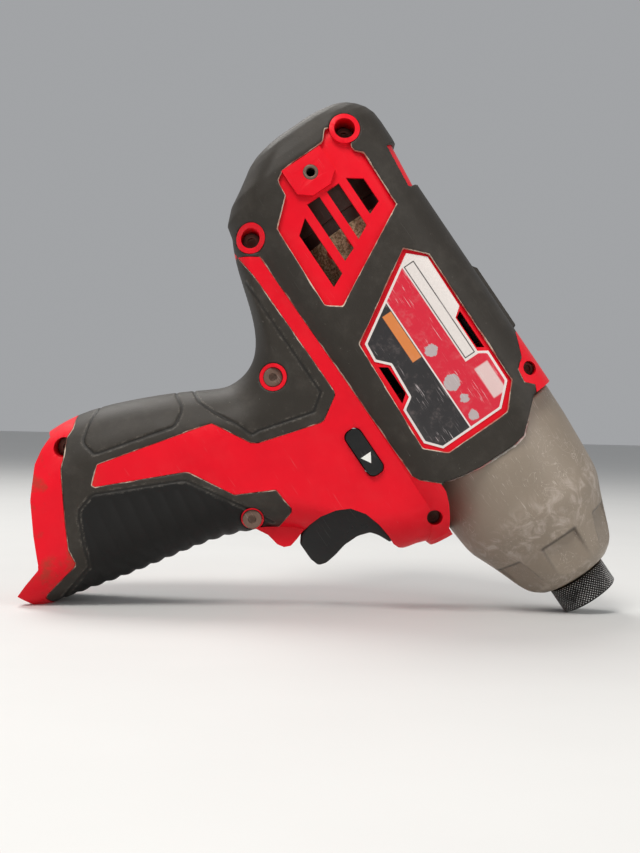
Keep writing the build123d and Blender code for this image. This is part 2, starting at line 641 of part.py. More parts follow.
bit_detent_balls = balls([(DETENT_X, 0, -DETENT_OFFSET), (DETENT_X, 0, DETENT_OFFSET)], DETENT_RADIUS)
write(bit_detent_balls, "bit_detent_balls")

with BuildPart() as retaining_ring:
    tube(RING_GROOVE, RING_GROOVE + 0.6, 7.5, 5.7)
write(retaining_ring.part, "retaining_ring")

with BuildPart() as collet_sleeve:
    turned([(SLEEVE_REAR, 6.5), (SLEEVE_REAR + 2.0, 6.5), (SLEEVE_REAR + 2.0, 7.85),
            (SLEEVE_FRONT, 7.85),
            (SLEEVE_FRONT, SLEEVE_RADIUS - SLEEVE_CHAMFER),
            (SLEEVE_FRONT - SLEEVE_CHAMFER, SLEEVE_RADIUS),
            (SLEEVE_REAR + SLEEVE_CHAMFER, SLEEVE_RADIUS),
            (SLEEVE_REAR, SLEEVE_RADIUS - SLEEVE_CHAMFER)])
write(collet_sleeve.part, "collet_sleeve")

with BuildPart() as sleeve_spring:
    coil(SLEEVE_REAR + 2.27, 0.6, 7.15, 0.22, 1.2)
write(sleeve_spring.part, "sleeve_spring")

# ---- motor -----------------------------------------------------------------------------------
with BuildPart() as motor_can:
    turned([(32.4, 16.7), (67.6, 16.7), (67.6, 5.0), (69.2, 5.0), (69.2, CAN_RADIUS),
            (32.4, CAN_RADIUS)])
write(motor_can.part, "motor_can")

with BuildPart() as magnets:
    tube(37, 65, 16.6, 12.8)
    block((30, 70), (-3, 3), (-20, 20), Mode.SUBTRACT)
write(magnets.part, "magnets")

with BuildPart() as motor_end_cap:
    turned([(11.8, 5.02), (17.4, 5.02), (17.4, 15.2), (28.4, 15.2), (28.4, 14.2), (32.3, 14.2),
            (32.3, 16.0), (28.4, 16.0), (28.4, CAN_RADIUS), (15.2, CAN_RADIUS), (15.2, 7.2),
            (11.8, 7.2)])
    for side in (-1, 1):
        block((20.2, 27.8), (-3.4, 3.4), sorted((side * 7.5, side * 15.6)))
    block((21.5, 26.5), (-2.0, 2.0), (-14.4, 14.4), Mode.SUBTRACT)
write(motor_end_cap.part, "motor_end_cap")

with BuildPart() as carbon_brushes:
    for side in (-1, 1):
        block((21.5, 26.5), (-2.0, 2.0), sorted((side * 5.5, side * 10.8)))
write(carbon_brushes.part, "carbon_brushes")

with BuildPart() as motor_bearings:
    tube(12.2, 16.8, 5.0, SHAFT_RADIUS + 0.05)
    tube(67.6, 71.2, 5.0, SHAFT_RADIUS + 0.05)
write(motor_bearings.part, "motor_bearings")

with BuildPart() as motor_shaft:
    tube(11.9, 98.4, SHAFT_RADIUS)
write(motor_shaft.part, "motor_shaft")

with BuildPart() as armature_core:
    tube(37.5, 64.5, 12.3, SHAFT_RADIUS)
    for angle in range(0, 360, 72):
        spoke = radians(angle)
        slot_middle = (8.6 * cos(spoke), 8.6 * sin(spoke))
        pin_along(slot_middle, 2.9, 37, 65, Mode.SUBTRACT)
        slot_mouth = (11.8 * cos(spoke), 11.8 * sin(spoke))
        pin_along(slot_mouth, 0.9, 37, 65, Mode.SUBTRACT)
write(armature_core.part, "armature_core")

with BuildPart() as armature_windings:
    tube(34.3, 37.4, 10.8, 5.0)
    tube(64.6, 66.9, 10.8, 5.4)
    for angle in range(0, 360, 72):
        spoke = radians(angle)
        pin_along((8.6 * cos(spoke), 8.6 * sin(spoke)), 2.6, 37, 65)
write(armature_windings.part, "armature_windings")

with BuildPart() as commutator:
    tube(20.6, 33.0, 5.2, SHAFT_RADIUS)
    for angle in range(0, 360, 36):
        slit = radians(angle)
        pin_along((5.2 * cos(slit), 5.2 * sin(slit)), 0.25, 20, 31.5, Mode.SUBTRACT)
write(commutator.part, "commutator")

FAN_BLADES = 11


def fan_blade(angle):
    """One radial blade of the cooling fan."""
    with BuildPart() as blade:
        block((73.4, 81.6), (3.8, 16.6), (-0.5, 0.5))
    return blade.part.rotate(SPINDLE, angle)


with BuildPart() as cooling_fan:
    tube(72.4, 73.6, 16.8, SHAFT_RADIUS)
    tube(72.4, 82.0, 4.0, SHAFT_RADIUS)
    for number in range(FAN_BLADES):
        add(fan_blade(number * 360 / FAN_BLADES))
write(cooling_fan.part, "cooling_fan")

# ---- handle insides ----------------------------------------------------------------------------
with BuildPart() as switch_body:
    block((66.5, 91.0), (-9.0, 9.0), (-56.0, -37.6))
    pin_along((0, -50), 2.8, 70.0, 95, Mode.SUBTRACT)
write(switch_body.part, "switch_body")

with BuildPart() as trigger:
    across(TRIGGER, TRIGGER_HALF_WIDTH)
    pin_along((0, -50), 2.4, 84.0, 102)
write(trigger.part, "trigger")

with BuildPart() as trigger_spring:
    coil(70.4, 6.6, 1.9, 0.35, 4, (0, -50))
write(trigger_spring.part, "trigger_spring")

with BuildPart() as direction_selector:
    with BuildSketch(side_plane()):
        with Locations(SELECTOR_PLACE):
            RectangleRounded(*SELECTOR_SIZE, 2.0)
    extrude(amount=21.4, both=True)
write(direction_selector.part, "direction_selector")

with BuildPart() as terminal_block:
    block((62.0, 83.0), (-10.0, 10.0), (-69.0, -63.0))
write(terminal_block.part, "terminal_block")

with BuildPart() as battery_contacts:
    for x in (66.0, 77.0):
        for y in (-6.0, 6.0):
            block((x - 3, x + 3), (y - 0.4, y + 0.4), (-78.0, -69.0))
write(battery_contacts.part, "battery_contacts")

with BuildPart() as motor_leads:
    for y in (-5.0, 5.0):
        lead([(26, y, -17.2), (26, y, -23.4), (72, y, -24.4), (72, y, -37.6)], 3.0, 0.9)
write(motor_leads.part, "motor_leads")

with BuildPart() as battery_leads:
    for y in (-5.0, 5.0):
        lead([(73, y, -63), (73, y, -59.5), (80, y, -59.5), (80, y, -56)], 1.7, 0.9)
write(battery_leads.part, "battery_leads")

with BuildPart() as work_light:
    pin_along(LIGHT_PLACE, LENS_RADIUS - 0.3, 112.5, 117.9)
write(work_light.part, "work_light")

with BuildPart() as work_light_lens:
    pin_along(LIGHT_PLACE, LENS_RADIUS, 117.9, 121.2)
write(work_light_lens.part, "work_light_lens")

with BuildPart() as gauge_lens:
    block((GAUGE_PLACE[0] - 5, GAUGE_PLACE[0] + 5), (16.6, 19.9),
          (GAUGE_PLACE[1] - 1.8, GAUGE_PLACE[1] + 1.8))
write(gauge_lens.part, "gauge_lens")

with BuildPart() as gauge_board:
    block((GAUGE_PLACE[0] - 7, GAUGE_PLACE[0] + 7), (15.0, 16.6),
          (GAUGE_PLACE[1] - 3.6, GAUGE_PLACE[1] + 3.6))
write(gauge_board.part, "gauge_board")
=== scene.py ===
"""Looks of a compact hex impact driver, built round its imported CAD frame.

Lengths named here are in millimetres of the tool's own frame (X forward along the spindle, Z up
from it, Y to its left), and to_row() carries them to the row frame in metres.
"""
import json
import math

import bpy
import numpy as np
from mathutils import Matrix, Vector
from mathutils.geometry import delaunay_2d_cdt


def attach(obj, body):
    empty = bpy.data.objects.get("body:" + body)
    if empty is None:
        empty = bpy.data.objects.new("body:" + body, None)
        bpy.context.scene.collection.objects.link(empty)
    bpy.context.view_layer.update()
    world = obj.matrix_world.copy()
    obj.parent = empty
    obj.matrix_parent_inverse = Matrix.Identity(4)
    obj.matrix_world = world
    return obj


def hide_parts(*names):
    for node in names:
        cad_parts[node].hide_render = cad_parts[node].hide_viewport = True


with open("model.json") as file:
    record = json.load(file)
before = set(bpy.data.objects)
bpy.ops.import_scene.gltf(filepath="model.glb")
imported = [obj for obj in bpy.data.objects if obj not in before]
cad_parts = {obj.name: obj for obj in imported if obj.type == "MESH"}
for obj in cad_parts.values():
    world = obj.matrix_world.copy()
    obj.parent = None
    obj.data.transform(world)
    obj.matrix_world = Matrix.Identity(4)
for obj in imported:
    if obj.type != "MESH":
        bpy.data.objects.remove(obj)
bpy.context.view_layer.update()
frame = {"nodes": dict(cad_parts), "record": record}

# ---- the tool's frame, read from the record's hex socket -------------------------------------
MM = 0.001
SOCKET_MOUTH = 163.6
mounts = {mount["name"]: mount for mount in frame["record"]["mounts"]}
socket = mounts["hex_socket"]
TOOL_X = Vector(socket["axis"]).normalized()
TOOL_Y = Vector((0, 1, 0))
TOOL_Z = TOOL_X.cross(TOOL_Y)
TOOL_ORIGIN = Vector(socket["pos_m"]) - TOOL_X * SOCKET_MOUTH * MM
AXES = np.array([TOOL_X, TOOL_Y, TOOL_Z])


def to_row(points):
    """Tool-frame points in millimetres, as row-frame points in metres."""
    return np.asarray(points, float) @ AXES * MM + np.array(TOOL_ORIGIN)


def to_tool(points):
    """Row-frame points in metres, as tool-frame points in millimetres."""
    return (np.asarray(points, float) - np.array(TOOL_ORIGIN)) @ AXES.T / MM


def coordinates(obj):
    """Vertex coordinates of a mesh, one row each."""
    flat = np.zeros(len(obj.data.vertices) * 3, np.float32)
    obj.data.vertices.foreach_get("co", flat)
    return flat.reshape(-1, 3).astype(float)


def normals(obj):
    """Vertex normals of a mesh, one row each."""
    flat = np.zeros(len(obj.data.vertices) * 3, np.float32)
    obj.data.vertex_normals.foreach_get("vector", flat)
    return flat.reshape(-1, 3).astype(float)


def set_coordinates(obj, points):
    """Moves every vertex of a mesh to its row of points."""
    obj.data.vertices.foreach_set("co", np.asarray(points, np.float32).ravel())
    obj.data.update()


def smoothstep(low, high, value):
    """0 at low, 1 at high, smooth between, for arrays. low may be above high."""
    t = np.clip((value - low) / (high - low), 0, 1)
    return t * t * (3 - 2 * t)


# ---- outlines in the side view, (x, z) -------------------------------------------------------
VENT_PANEL = [(6.9, 9.5), (9.5, 7.3), (10, 6.4), (10, -2.9), (10.4, -7.4), (11.7, -9.6),
              (13.1, -10), (16.6, -10.3), (23.3, -17.6), (48.6, -18.5), (51.7, -14.5),
              (36.1, 14.5), (18.8, 14.8), (17.1, 13), (15.7, 12.8), (14, 13.5), (10, 16)]
LABEL_PANEL = [(47.8, 8.9), (53.2, 14.2), (96, 13.7), (102.8, 7.4), (103.1, -12.7), (98, -18.2),
               (63.4, -16.6)]
LABEL = [(49.3, 8.9), (53.5, 13.5), (70.2, 13.2), (72.4, 10.3), (83.7, 10.2), (85.4, 12.9),
         (95.4, 12.7), (101.1, 6.7), (101.3, -13.4), (97.0, -17.1), (85.9, -16.7), (83.7, -13.3),
         (73.3, -12.6), (69.9, -15.8), (64.2, -15.3)]
GRIP_SEAM = [(22, -31.4), (30.8, -30.4), (70.2, -29.8), (71.5, -30.3), (75.8, -37), (75.8, -38.4),
             (70.6, -56.5), (69.3, -58.3), (58.4, -64.4), (58, -65.5), (49.9, -98.1),
             (53.9, -102.6), (54.8, -102.1), (65.7, -78.2), (66.6, -77.3), (78.8, -70.5),
             (79.2, -70), (84.2, -60.1), (84.6, -59.6), (91.6, -59), (92.5, -59.6),
             (94.8, -67.2), (96.5, -69.6)]
FOOT_SEAM = [(73.3, -133.4), (72.6, -132), (70.4, -120.2), (69.7, -119.5), (65.7, -118.9),
             (58.4, -115.2), (44.9, -107.6), (42.1, -104.8), (38.1, -101.7), (36.7, -99),
             (34, -96.9), (30, -96)]
BODY_SEAM = [(26.4, -26.2), (103.1, -25.1), (105.3, -24), (109.3, -19.6)]
TOP_RED = [(85.6, 24.6), (92.6, 20.2), (94.6, 17.2), (98.6, 16.6), (101, 19), (103.5, 18)]
FRONT_EDGE = [(103, 25), (103, 17), (107.5, 11.7), (111.1, 7.7), (111.8, 4), (111.7, -7.4),
              (111, -12.2), (110.2, -16.2), (109.3, -19.2)]
UPPER_PAD = [(30, -33.6), (68.4, -33.3), (72, -38.1), (67.6, -54.2), (67.5, -56.5), (62.9, -58.3),
             (55.7, -62.2), (51.2, -64.1), (45, -64.2)]
LOWER_PAD = [(42, -68.7), (49.4, -69), (50.7, -70), (52.7, -73.2), (52.8, -74.6), (47.3, -95.8),
             (46.7, -97.2), (42.6, -98.1), (41.2, -97.4), (37.6, -93.1), (34, -88)]
RIB_PANEL = [(92, -66), (84.6, -69.6), (67.9, -79.5), (67, -80.9), (56.4, -103.5),
             (56.3, -104.8), (57.8, -109.8), (58.9, -110.7), (65.7, -113.9), (71.5, -116.1),
             (72.9, -117), (75.3, -126.5), (77.5, -137)]
RIB_PANEL_FRONT = [(110, -137), (110, -66)]


def line_distance(points, line, closed=False):
    """Distance of each (x, z) point to a polyline."""
    corners = np.array(line + line[:1] if closed else line, float)
    best = np.full(len(points), 1e9)
    for a, b in zip(corners[:-1], corners[1:]):
        along = b - a
        t = np.clip(((points - a) @ along) / (along @ along), 0, 1)
        best = np.minimum(best, np.linalg.norm(points - a - t[:, None] * along, axis=1))
    return best


def inside(points, outline):
    """Whether each (x, z) point is inside a closed outline."""
    corners = np.array(outline, float)
    result = np.zeros(len(points), bool)
    for a, b in zip(corners, np.roll(corners, -1, axis=0)):
        crosses = (a[1] > points[:, 1]) != (b[1] > points[:, 1])
        height = b[1] - a[1] if b[1] != a[1] else 1e-9
        result ^= crosses & (points[:, 0] < (b[0] - a[0]) * (points[:, 1] - a[1]) / height + a[0])
    return result


# ---- material building -----------------------------------------------------------------------
class Shader:
    """A small builder of node materials whose coordinates are the tool's own millimetres."""

    def __init__(self, name, roughness=0.5, metallic=0.0, **sockets):
        self.material = bpy.data.materials.new(name)
        self.material.use_nodes = True
        self.tree = self.material.node_tree
        self.surface = self.tree.nodes["Principled BSDF"]
        self.surface.inputs["Roughness"].default_value = roughness
        self.surface.inputs["Metallic"].default_value = metallic
        for socket_name, value in sockets.items():
            self.surface.inputs[socket_name.replace("_", " ")].default_value = value
        place = self.add("ShaderNodeTexCoord")
        mapping = self.add("ShaderNodeMapping")
        lean = math.atan2(-TOOL_X.z, TOOL_X.x)
        mapping.inputs["Rotation"].default_value = (0, -lean, 0)
        mapping.inputs["Scale"].default_value = (1 / MM,) * 3
        mapping.inputs["Location"].default_value = -Vector(AXES @ np.array(TOOL_ORIGIN)) / MM
        self.join(place.outputs["Object"], mapping.inputs["Vector"])
        self.place = mapping.outputs["Vector"]

    def add(self, kind, **settings):
        """A new node of this kind."""
        node = self.tree.nodes.new(kind)
        for key, value in settings.items():
            setattr(node, key, value)
        return node

    def join(self, source, target):
        self.tree.links.new(source, target)

    def feed(self, target, value):
        """Gives a socket a number, a colour or another node's output."""
        if isinstance(value, (int, float)):
            target.default_value = value
        elif isinstance(value, tuple):
            target.default_value = value if len(value) == 4 else (*value, 1.0)
        else:
            self.join(value, target)

    def math(self, operation, a, b=0.0, clamp=False):
        """One arithmetic step."""
        node = self.add("ShaderNodeMath", operation=operation, use_clamp=clamp)
        self.feed(node.inputs[0], a)
        self.feed(node.inputs[1], b)
        return node.outputs[0]

    def times(self, a, b):
        return self.math("MULTIPLY", a, b)

    def mix(self, factor, a, b):
        """Colour a where factor is 0, colour b where it is 1."""
        node = self.add("ShaderNodeMix", data_type="RGBA")
        factor_socket, first_colour, second_colour, mixed = 0, 6, 7, 2
        self.feed(node.inputs[factor_socket], factor)
        self.feed(node.inputs[first_colour], a)
        self.feed(node.inputs[second_colour], b)
        return node.outputs[mixed]

    def noise(self, scale, detail=3.0, rough=0.5, stretch=None, distortion=0.0):
        """Noise whose cells are about 1 / scale millimetres across."""
        node = self.add("ShaderNodeTexNoise")
        node.inputs["Scale"].default_value = scale
        node.inputs["Detail"].default_value = detail
        node.inputs["Roughness"].default_value = rough
        node.inputs["Distortion"].default_value = distortion
        vector = self.place
        if stretch:
            squeeze = self.add("ShaderNodeMapping")
            squeeze.inputs["Rotation"].default_value = stretch[:3]
            squeeze.inputs["Scale"].default_value = stretch[3:]
            self.join(vector, squeeze.inputs["Vector"])
            vector = squeeze.outputs["Vector"]
        self.join(vector, node.inputs["Vector"])
        return node.outputs["Fac"]

    def step(self, value, low, high):
        """0 below low, 1 above high, smooth between. low may be above high."""
        node = self.add("ShaderNodeMapRange", interpolation_type="SMOOTHSTEP")
        self.feed(node.inputs["Value"], value)
        a, b, out_a, out_b = (low, high, 0.0, 1.0) if low < high else (high, low, 1.0, 0.0)
        for key, number in zip(("From Min", "From Max", "To Min", "To Max"), (a, b, out_a, out_b)):
            node.inputs[key].default_value = number
        return node.outputs["Result"]

    def attribute(self, name):
        """A value stored on the mesh's vertices."""
        node = self.add("ShaderNodeAttribute", attribute_name=name)
        return node.outputs["Fac"]

    def split(self):
        """The x, y and z of the tool's frame."""
        node = self.add("ShaderNodeSeparateXYZ")
        self.join(self.place, node.inputs[0])
        return node.outputs

    def box(self, x_low, x_high, z_low, z_high, soft=0.12):
        """1 inside a rectangle of the side view."""
        x, _, z = self.split()
        after_left = self.step(x, x_low - soft, x_low + soft)
        before_right = self.step(x, x_high + soft, x_high - soft)
        above_foot = self.step(z, z_low - soft, z_low + soft)
        below_head = self.step(z, z_high + soft, z_high - soft)
        return self.times(self.times(after_left, before_right), self.times(above_foot, below_head))

    def scratches(self, seed_turn, density=0.5):
        """Thin random streaks, 0 to 1."""
        fine = self.noise(0.9, 2.0, 0.5, (0.3, seed_turn, 0.2, 0.14, 3.4, 3.0), 0.4)
        patch = self.noise(0.09, 3.0)
        streak = self.step(fine, 0.69 - 0.06 * density, 0.74 - 0.06 * density)
        return self.times(streak, self.step(patch, 0.45, 0.6))

    def bump(self, height, strength, onto=None):
        """Relief of a tenth of a millimetre, on top of an earlier one if given."""
        node = self.add("ShaderNodeBump")
        node.inputs["Strength"].default_value = strength
        node.inputs["Distance"].default_value = 0.1 * MM
        self.feed(node.inputs["Height"], height)
        if onto is not None:
            self.join(onto, node.inputs["Normal"])
        return node.outputs["Normal"]

    def finish(self, colour, roughness=None, normal=None):
        """Feeds the surface and hands over the material. None leaves a socket as it is."""
        for key, value in (("Base Color", colour), ("Roughness", roughness), ("Normal", normal)):
            if value is not None:
                self.feed(self.surface.inputs[key], value)
        return self.material


NEAR = 2.0      # how far from a seam or rim, in millimetres, its closeness is stored


def seam_mask(s, name, narrow=0.0, wide=0.42):
    """Dust in a joint: a broken line of uneven width where the named closeness is high."""
    away = s.math("SUBTRACT", NEAR, s.attribute(name))
    patchy = s.step(s.noise(0.16, 5.0, 0.6), 0.36, 0.72)
    reach = s.math("ADD", s.times(patchy, wide - narrow), narrow)
    gap = s.math("SUBTRACT", reach, away)
    return s.step(gap, -0.12, 0.1)


def plastic(name, colour, roughness, grain=2.2, grain_height=0.25, wear=0.5, dust=0.15,
            dust_colour=(0.5, 0.45, 0.4), shine=0.5):
    """Moulded plastic or rubber: texture grain, mottled sheen, scuffs, specks and a thin haze."""
    s = Shader(name, roughness, Specular_IOR_Level=shine)
    mottle = s.noise(0.05, 4.0, 0.6)
    base = s.mix(mottle, tuple(0.8 * c for c in colour), tuple(1.1 * c for c in colour))
    scuff = s.scratches(0.9, wear)
    light = tuple(min(1.0, 0.7 * c + 0.12) for c in colour)
    base = s.mix(s.times(scuff, 0.4 * wear), base, light)
    haze = s.step(s.noise(0.12, 6.0, 0.7), 0.42, 0.8)
    grit = s.step(s.noise(1.1, 2.0, 0.5), 0.71, 0.76)
    speck = s.times(grit, s.step(s.noise(0.1, 3.0), 0.4, 0.6))
    dirt = s.math("MAXIMUM", s.times(haze, dust), s.times(speck, 2.2 * dust))
    base = s.mix(dirt, base, dust_colour)
    rough = s.math("ADD", s.times(s.math("SUBTRACT", mottle, 0.5), 0.3), roughness)
    rough = s.math("ADD", rough, s.times(haze, 0.1), clamp=True)
    grain_bump = s.bump(s.noise(grain, 2.0, 0.5), grain_height)
    normal = s.bump(scuff, 0.2, grain_bump)
    return s, base, rough, normal


def simple_plastic(name, colour, roughness, **options):
    """A plastic with nothing of its own besides its colour and wear."""
    s, base, rough, normal = plastic(name, colour, roughness, **options)
    return s.finish(base, rough, normal)


def housing_red(name):
    """Red nylon, browned by handling towards the foot."""
    s, base, rough, normal = plastic(name, (0.74, 0.001, 0.013), 0.4, grain=2.6, grain_height=0.12,
                                     dust=0.02, dust_colour=(0.75, 0.3, 0.26), shine=0.22)
    _, _, z = s.split()
    stain = s.times(s.step(s.noise(0.16, 4.0, 0.6), 0.5, 0.68), s.step(z, -96, -108))
    base = s.mix(s.times(stain, 0.5), base, (0.2, 0.05, 0.02))
    return s.finish(base, rough, normal)


def overmold_rubber(name):
    """Dark rubber: ribbed panel near black, partly its own darker rubber and partly painted shade;
    painted shade in the grooves; dust in the seams and along the lips of each groove.
    """
    s, base, rough, normal = plastic(name, (0.026, 0.0215, 0.0165), 0.52, grain=3.0,
                                     grain_height=0.3, wear=0.3, dust=0.045, shine=0.3)
    # the ribbed panel's own darker rubber, taken near black as painted shade on the lower handle
    base = s.mix(s.attribute("panel"), base, s.mix(0.92, base, (0.0015, 0.0015, 0.0015)))
    # painted shade: the bottoms of the grip's grooves darkened, standing in for shade in the recess
    base = s.mix(s.times(s.attribute("groove"), 0.85), base, (0.008, 0.007, 0.006))
    lip = s.times(s.attribute("lip"), s.step(s.noise(0.5, 5.0, 0.75), 0.46, 0.66))
    base = s.mix(s.times(lip, 0.3), base, (0.3, 0.27, 0.23))
    dusty = seam_mask(s, "seam", 0.1, 0.4)
    tint = s.mix(s.step(s.noise(0.2, 3.0), 0.42, 0.55), (0.45, 0.17, 0.13), (0.62, 0.5, 0.4))
    base = s.mix(s.times(dusty, 0.9), base, tint)
    return s.finish(base, rough, normal)


def metal(name, colour, roughness, metallic=1.0, grain=1.5, wear=0.6):
    """Machined or cast metal with streaks along the turning direction and worn edges."""
    s = Shader(name, roughness, metallic)
    tone = s.noise(0.12, 4.0, 0.6)
    base = s.mix(tone, tuple(0.72 * c for c in colour), colour)
    fine = s.noise(grain, 3.0, 0.6, (0, 0, 0, 4.0, 0.6, 0.6))
    rough = s.math("ADD", s.times(s.math("SUBTRACT", fine, 0.5), 0.3), roughness, clamp=True)
    scuff = s.scratches(1.3, wear)
    base = s.mix(s.times(scuff, 0.5), base, tuple(min(1.0, c + 0.25) for c in colour))
    normal = s.bump(fine, 0.08)
    return s.finish(base, rough, s.bump(scuff, 0.2, normal))


def gear_case_paint():
    """Warm grey coating on a die casting, rubbed bright round the shoulder and scratched, with painted
    shade in the corners of the wrench pockets.
    """
    s = Shader("gear_case_coating", 0.45, 0.1)
    warm, deep = (0.3, 0.245, 0.19), (0.2, 0.162, 0.124)
    base = s.mix(s.noise(0.05, 4.0, 0.6), deep, warm)
    x, _, _ = s.split()
    blotch = s.step(s.noise(0.2, 6.0, 0.7, distortion=1.2), 0.46, 0.68)
    shoulder = s.times(s.step(x, 125, 134), s.step(x, 147, 138))
    nose = s.times(s.step(x, 149, 154), 0.7)
    worn = s.times(blotch, s.math("ADD", s.math("ADD", shoulder, nose), 0.04, clamp=True))
    base = s.mix(s.times(worn, 0.6), base, (0.5, 0.43, 0.38))
    curls = s.step(s.math("ABSOLUTE", s.math("SUBTRACT", s.noise(0.16, 2.0, 0.5, distortion=2.5), 0.5)),
                   0.012, 0.004)
    curl = s.times(curls, s.step(s.noise(0.08, 2.0), 0.5, 0.64))
    scuff = s.math("MAXIMUM", s.scratches(0.5, 0.5), s.scratches(2.1, 0.4))
    marks = s.math("MAXIMUM", s.times(curl, 0.45), s.times(scuff, 0.4))
    base = s.mix(marks, base, (0.58, 0.52, 0.46))
    pits = s.step(s.noise(1.0, 3.0, 0.6), 0.66, 0.76)
    base = s.mix(s.times(pits, 0.3), base, (0.12, 0.1, 0.085))
    # painted shade: the inner corners of the wrench pockets darkened, where shade falls in them
    base = s.mix(s.times(s.attribute("painted_pocket_shade"), 0.75), base, (0.05, 0.04, 0.032))
    base = s.mix(s.times(seam_mask(s, "seam", 0.35, 0.8), 0.8), base, (0.8, 0.76, 0.7))
    rough = s.math("ADD", s.times(s.noise(0.4, 5.0, 0.7), 0.3), 0.33)
    cast = s.bump(s.noise(2.2, 4.0, 0.6), 0.2)
    return s.finish(base, rough, s.bump(marks, 0.25, cast))


def knurled_steel(name):
    """Black oxide steel, rubbed bright on the knurl's crests."""
    s = Shader(name, 0.4, 0.8)
    base = s.mix(s.noise(0.3, 4.0, 0.6), (0.014, 0.013, 0.013), (0.035, 0.033, 0.032))
    crest = s.times(s.attribute("crest"), s.step(s.noise(0.18, 4.0, 0.7), 0.3, 0.6))
    base = s.mix(crest, base, (0.66, 0.65, 0.64))
    return s.finish(base, s.math("ADD", s.times(crest, -0.08), 0.42),
                    s.bump(s.noise(3.0, 2.0), 0.1))


def label_film(name):
    """Printed rating film with a plain coloured layout and rubbed patches, no lettering."""
    s = Shader(name, 0.32, 0.0, Coat_Weight=0.25, Coat_Roughness=0.25)
    red, white, black = (0.6, 0.01, 0.032), (0.7, 0.65, 0.62), (0.02, 0.018, 0.019)
    x, _, z = s.split()
    base = s.mix(s.step(z, -3.3, -3.7), red, black)
    base = s.mix(s.box(40, 84.4, 5.7, 13.5), base, white)
    base = s.mix(s.box(52.2, 83.6, 6.1, 9.5), base, black)
    base = s.mix(s.box(52.5, 83.3, 6.4, 9.2), base, white)
    base = s.mix(s.times(s.box(87.5, 97.5, 6.6, 11.0, 0.3), 0.75), base, white)
    base = s.mix(s.box(56, 101, -3.75, -3.35, 0.08), base, white)
    base = s.mix(s.box(60.6, 76.2, -6.9, -3.95), base, (0.62, 0.2, 0.05))
    silver = (0.42, 0.4, 0.4)
    ragged = s.times(s.math("SUBTRACT", s.noise(0.7, 4.0, 0.7), 0.5), 2.0)
    for at_x, at_z, radius in ((76.2, -0.6, 1.9), (87.2, -0.8, 2.4), (92.8, -0.3, 1.3),
                               (98.2, -0.8, 1.5)):
        run = s.math("POWER", s.math("SUBTRACT", x, at_x), 2.0)
        rise = s.math("POWER", s.math("SUBTRACT", z, at_z), 2.0)
        away = s.math("ADD", s.math("SQRT", s.math("ADD", run, rise)), ragged)
        base = s.mix(s.times(s.step(away, radius + 0.15, radius - 0.15), 0.92), base, silver)
    scuff = s.math("MAXIMUM", s.scratches(0.7, 0.9), s.scratches(2.4, 0.6))
    base = s.mix(s.times(scuff, 0.6), base, (0.7, 0.62, 0.62))
    haze = s.step(s.noise(0.3, 6.0, 0.75), 0.5, 0.72)
    base = s.mix(s.times(haze, 0.1), base, (0.55, 0.42, 0.4))
    base = s.mix(s.step(s.attribute("rim"), NEAR - 0.75, NEAR - 0.6), base, white)
    rough = s.math("ADD", s.times(haze, 0.3), 0.3)
    return s.finish(base, rough, s.bump(scuff, 0.3))


def speckled_plate(name):
    """Plated steel can under a coat of fine tan dust."""
    s = Shader(name, 0.6, 0.2)
    speck = s.step(s.noise(1.5, 3.0, 0.7), 0.4, 0.62)
    base = s.mix(speck, (0.17, 0.125, 0.06), (0.52, 0.42, 0.26))
    return s.finish(base, 0.6, s.bump(speck, 0.3))


def clear(name):
    """Moulded lens, faintly clouded."""
    s = Shader(name, 0.12, 0.0, Transmission_Weight=0.7, IOR=1.49)
    base = s.mix(s.noise(0.6, 3.0), (0.85, 0.88, 0.9), (0.75, 0.78, 0.8))
    return s.finish(base, None, s.bump(s.noise(2.0, 2.0), 0.05))


materials = {
    "red_plastic": housing_red("red_nylon"),
    "dark_rubber": overmold_rubber("grip_rubber"),
    "label_film": label_film("rating_film"),
    "case_aluminium": gear_case_paint(),
    "black_steel": knurled_steel("black_oxide"),
    "steel": metal("bright_steel", (0.62, 0.6, 0.57), 0.34),
    "aged_steel": metal("aged_screw_steel", (0.2, 0.13, 0.1), 0.5, 0.7),
    "can_plate": speckled_plate("dusty_can_plate"),
    "spring_steel": metal("spring_steel", (0.42, 0.41, 0.4), 0.3),
    "bronze": metal("sintered_bronze", (0.5, 0.33, 0.16), 0.42),
    "copper": metal("enamelled_copper", (0.62, 0.26, 0.12), 0.33),
    "ferrite": simple_plastic("ferrite", (0.06, 0.058, 0.056), 0.6),
    "graphite": simple_plastic("graphite", (0.04, 0.04, 0.042), 0.45),
    "brown_plastic": simple_plastic("brown_phenolic", (0.06, 0.032, 0.022), 0.5),
    "black_plastic": simple_plastic("black_nylon", (0.006, 0.006, 0.006), 0.3, dust=0.012, shine=0.4),
    "white_plastic": simple_plastic("white_polymer", (0.8, 0.8, 0.76), 0.4),
    "green_board": simple_plastic("circuit_board", (0.03, 0.2, 0.08), 0.4),
    "clear_plastic": clear("clear_lens"),
    "lead_insulation": simple_plastic("lead_insulation", (0.03, 0.03, 0.03), 0.4),
    "brass": metal("contact_brass", (0.7, 0.52, 0.24), 0.3),
}

# ---- mesh helpers ------------------------------------------------------------------------------
WELD_REACH, SHARP_ANGLE = 0.004, 28
slot_of = {row["node"]: row["material_slot"] for row in frame["record"]["subparts"]}


def smooth_shade(obj):
    """Shades every face of a mesh smoothly."""
    obj.data.polygons.foreach_set("use_smooth", [True] * len(obj.data.polygons))
    obj.data.update()


